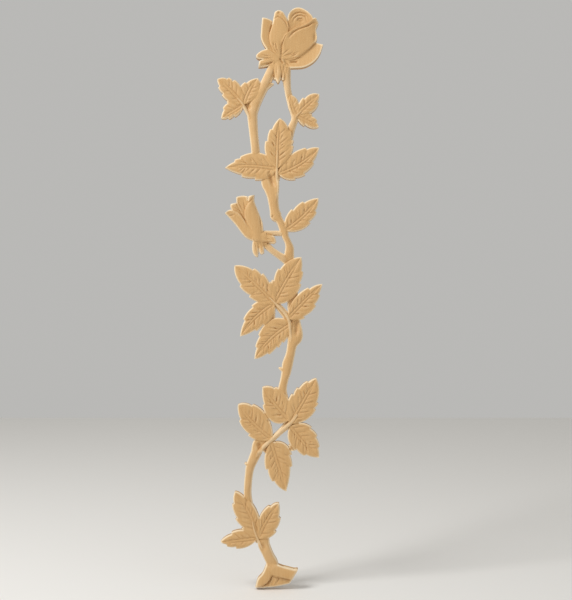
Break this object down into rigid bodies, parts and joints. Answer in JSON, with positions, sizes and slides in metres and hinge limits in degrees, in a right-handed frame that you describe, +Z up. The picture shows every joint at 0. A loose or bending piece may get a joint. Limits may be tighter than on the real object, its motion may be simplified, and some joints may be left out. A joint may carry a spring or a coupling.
{
  "type": "carved wood applique",
  "caption": "Tall carved wood applique of a rose spray: a rose at the top, a side bud, toothed leaves and a cut foot, with a flat back for fixing.",
  "frame": {"origin": "middle of the flat back, on the main stem", "axes": "+Z up the spray towards the rose, the flat back faces +Y and the carving faces -Y, +X to the viewer's right"},
  "size_m": [0.1057, 0.0119, 0.5796],
  "materials": {
    "wood": "satin"
  },
  "bodies": {
    "root": {"carved_rose_spray": "wood"}
  },
  "joints": []
}
